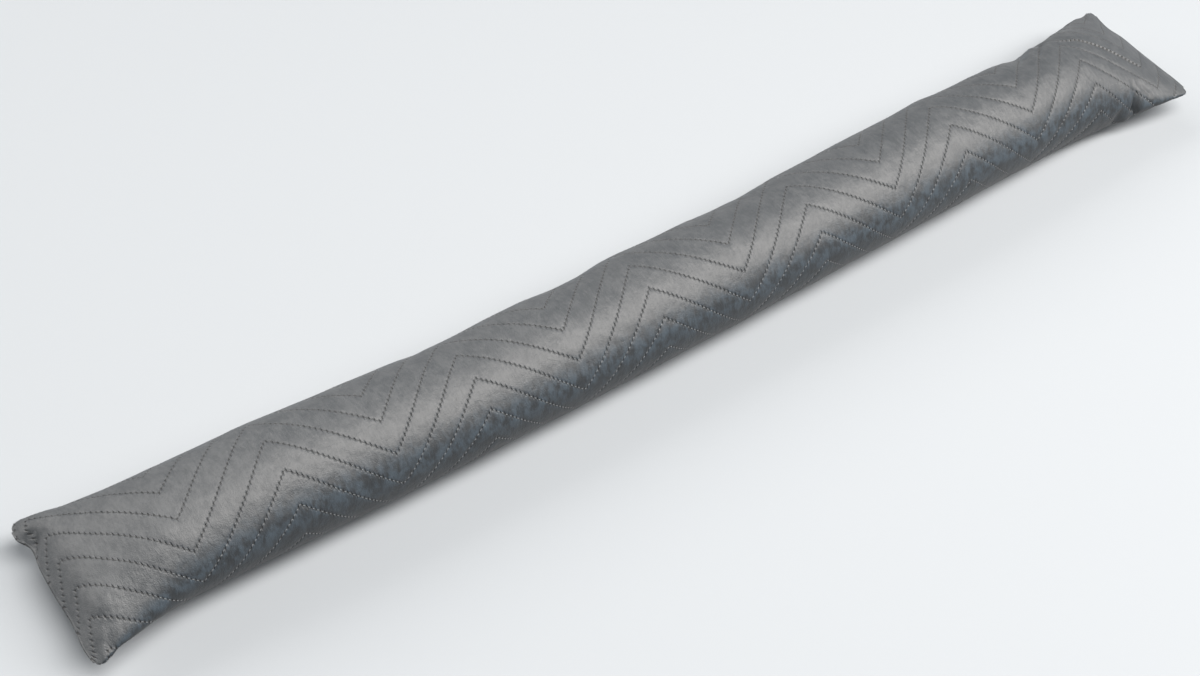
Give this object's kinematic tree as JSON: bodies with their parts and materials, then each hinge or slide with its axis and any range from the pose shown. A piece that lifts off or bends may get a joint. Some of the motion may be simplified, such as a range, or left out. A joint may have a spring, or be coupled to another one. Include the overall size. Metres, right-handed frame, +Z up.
{
  "type": "draught excluder",
  "caption": "Long filled fabric roll with chevron quilting, a round middle, flat sewn ends and corner ears, lying on its back to block the gap under a door.",
  "frame": {"origin": "on the surface that the roll lies on, below the middle of its outline", "axes": "+X along the roll, +Y across it to the sewn side, +Z up"},
  "size_m": [0.9112, 0.1132, 0.0737],
  "materials": {
    "grey_velvet": "short-pile velvet, chevron quilted in grey thread, soft sheen"
  },
  "bodies": {
    "root": {"quilted_roll": "grey_velvet"}
  },
  "joints": []
}
